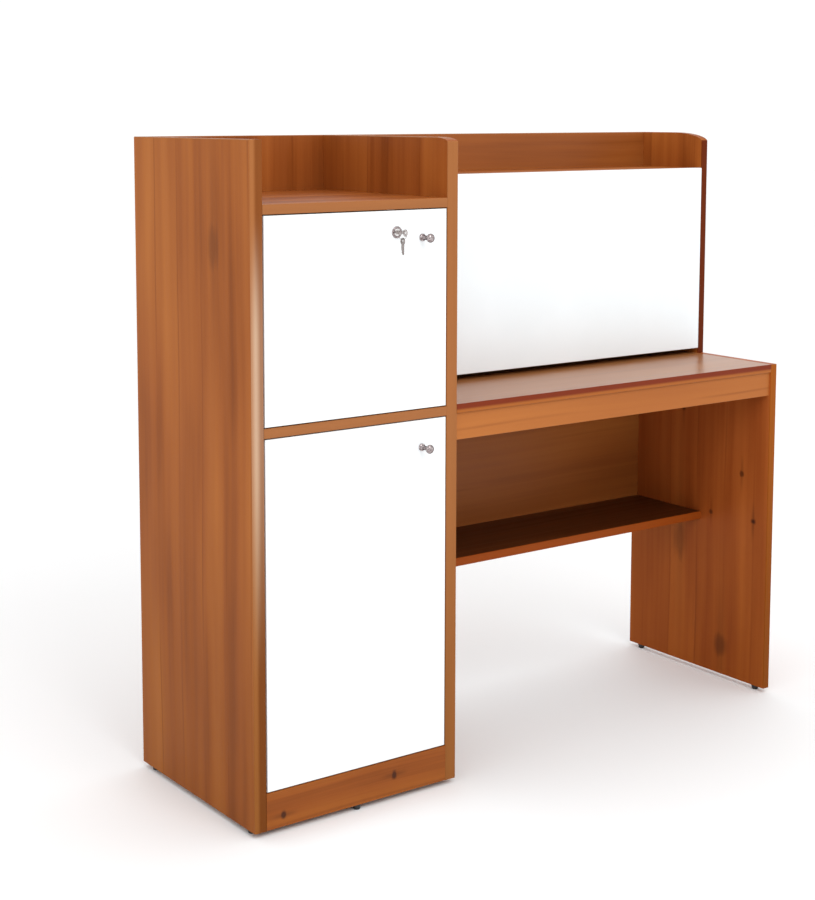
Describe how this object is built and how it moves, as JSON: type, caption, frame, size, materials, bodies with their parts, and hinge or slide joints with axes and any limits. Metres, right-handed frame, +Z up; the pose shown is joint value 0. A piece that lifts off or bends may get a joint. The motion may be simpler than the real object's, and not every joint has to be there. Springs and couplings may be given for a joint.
{
  "type": "student desk with hutch",
  "caption": "Study desk with a tall lockable cabinet of hinged doors, an under-desk book shelf and a closed hutch with an open top ledge.",
  "frame": {"origin": "on the ground under the middle of the desk's box, keys and knobs included", "axes": "+X to the right across the front, +Y from the front to the back, +Z up"},
  "size_m": [1.357, 0.463, 1.258],
  "materials": {
    "brown_laminate": "satin wood-print laminate on particle board",
    "white_laminate": "smooth white laminate on particle board",
    "black_plastic": "moulded",
    "bare_beech": "bare fluted dowel",
    "white_plastic": "moulded",
    "ferrite": "ground ferrite",
    "polished_chrome": "polished plating",
    "nickel_steel": "nickel plated",
    "zinc_steel": "bright zinc plated"
  },
  "bodies": {
    "carcass": {"cabinet_left_side": "brown_laminate", "cabinet_right_side": "brown_laminate", "recess_floor": "brown_laminate", "middle_shelf": "brown_laminate", "bottom_board": "brown_laminate", "plinth": "brown_laminate", "cabinet_back": "brown_laminate", "inner_shelf": "brown_laminate", "desktop": "brown_laminate", "leg_panel": "brown_laminate", "apron": "brown_laminate", "book_shelf": "brown_laminate", "book_back": "brown_laminate", "hutch_side": "brown_laminate", "hutch_back": "brown_laminate", "hutch_shelf": "brown_laminate", "hutch_board": "white_laminate", "glides": "black_plastic", "hinge_arms_upper": "zinc_steel", "hinge_plates_upper": "zinc_steel", "hinge_plate_screws_upper": "zinc_steel", "hinge_arms_lower": "zinc_steel", "hinge_plates_lower": "zinc_steel", "hinge_plate_screws_lower": "zinc_steel", "lock_strike": "zinc_steel", "catch_housings": "white_plastic", "catch_magnets": "ferrite", "shelf_pegs": "zinc_steel", "cam_discs": "zinc_steel", "cam_bolts": "zinc_steel", "dowels": "bare_beech"},
    "upper_door": {"door_upper": "white_laminate", "hinge_cups_upper": "zinc_steel", "hinge_pins_upper": "zinc_steel", "hinge_cup_screws_upper": "zinc_steel", "knob_upper": "polished_chrome", "knob_screw_upper": "zinc_steel", "catch_plate_upper": "zinc_steel", "lock_barrel": "polished_chrome", "lock_nut": "polished_chrome"},
    "lower_door": {"door_lower": "white_laminate", "hinge_cups_lower": "zinc_steel", "hinge_pins_lower": "zinc_steel", "hinge_cup_screws_lower": "zinc_steel", "knob_lower": "polished_chrome", "knob_screw_lower": "zinc_steel", "catch_plate_lower": "zinc_steel"},
    "lock_plug": {"lock_core": "polished_chrome", "lock_latch": "zinc_steel", "latch_screw": "zinc_steel", "door_key": "nickel_steel"},
    "spare_key_ring": {"key_ring": "nickel_steel", "spare_key": "nickel_steel"}
  },
  "joints": [
    {"name": "upper_door_hinge", "type": "hinge", "parent": "carcass", "child": "upper_door", "pos_m": [-0.626, -0.188, 0.93775], "axis": [0, 0, -1], "range_deg": [0, 95]},
    {"name": "lower_door_hinge", "type": "hinge", "parent": "carcass", "child": "lower_door", "pos_m": [-0.626, -0.188, 0.40525], "axis": [0, 0, -1], "range_deg": [0, 95]},
    {"name": "lock_turn", "type": "hinge", "parent": "upper_door", "child": "lock_plug", "pos_m": [-0.3645, -0.1985, 1.085], "axis": [0, 1, 0], "range_deg": [0, 90]},
    {"name": "spare_key_swing", "type": "hinge", "parent": "upper_door", "child": "spare_key_ring", "pos_m": [-0.3645, -0.2175, 1.085], "axis": [0, 1, 0], "range_deg": [-50, 50]}
  ]
}
